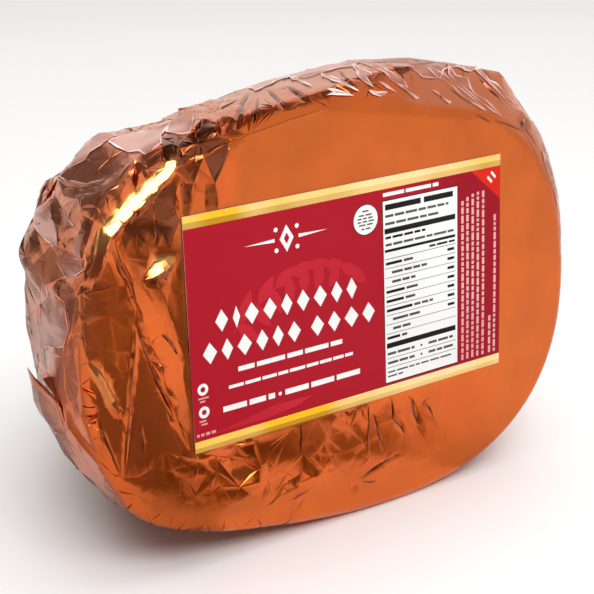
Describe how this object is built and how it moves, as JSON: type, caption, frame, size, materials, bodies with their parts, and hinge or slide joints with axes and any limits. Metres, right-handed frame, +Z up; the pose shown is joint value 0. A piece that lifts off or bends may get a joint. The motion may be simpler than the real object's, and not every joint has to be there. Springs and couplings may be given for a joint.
{
  "type": "foil wrapped half ham",
  "caption": "Half ham shut in copper foil: oval cut face with a printed label, tapering body, gathered end, lying on its underside.",
  "frame": {"origin": "centre of the bounding box's base, on the surface that the pack lies on", "axes": "+X along the cut face's long way, to the right as seen from the front; +Y from the cut face back to the gathered end; +Z up"},
  "size_m": [0.2398, 0.1926, 0.179],
  "materials": {
    "foil": "copper tinted, smooth on the face, crumpled on the sides",
    "label_print": "gloss printed paper"
  },
  "bodies": {
    "root": {"foil_pack": "foil", "label": "label_print"}
  },
  "joints": []
}
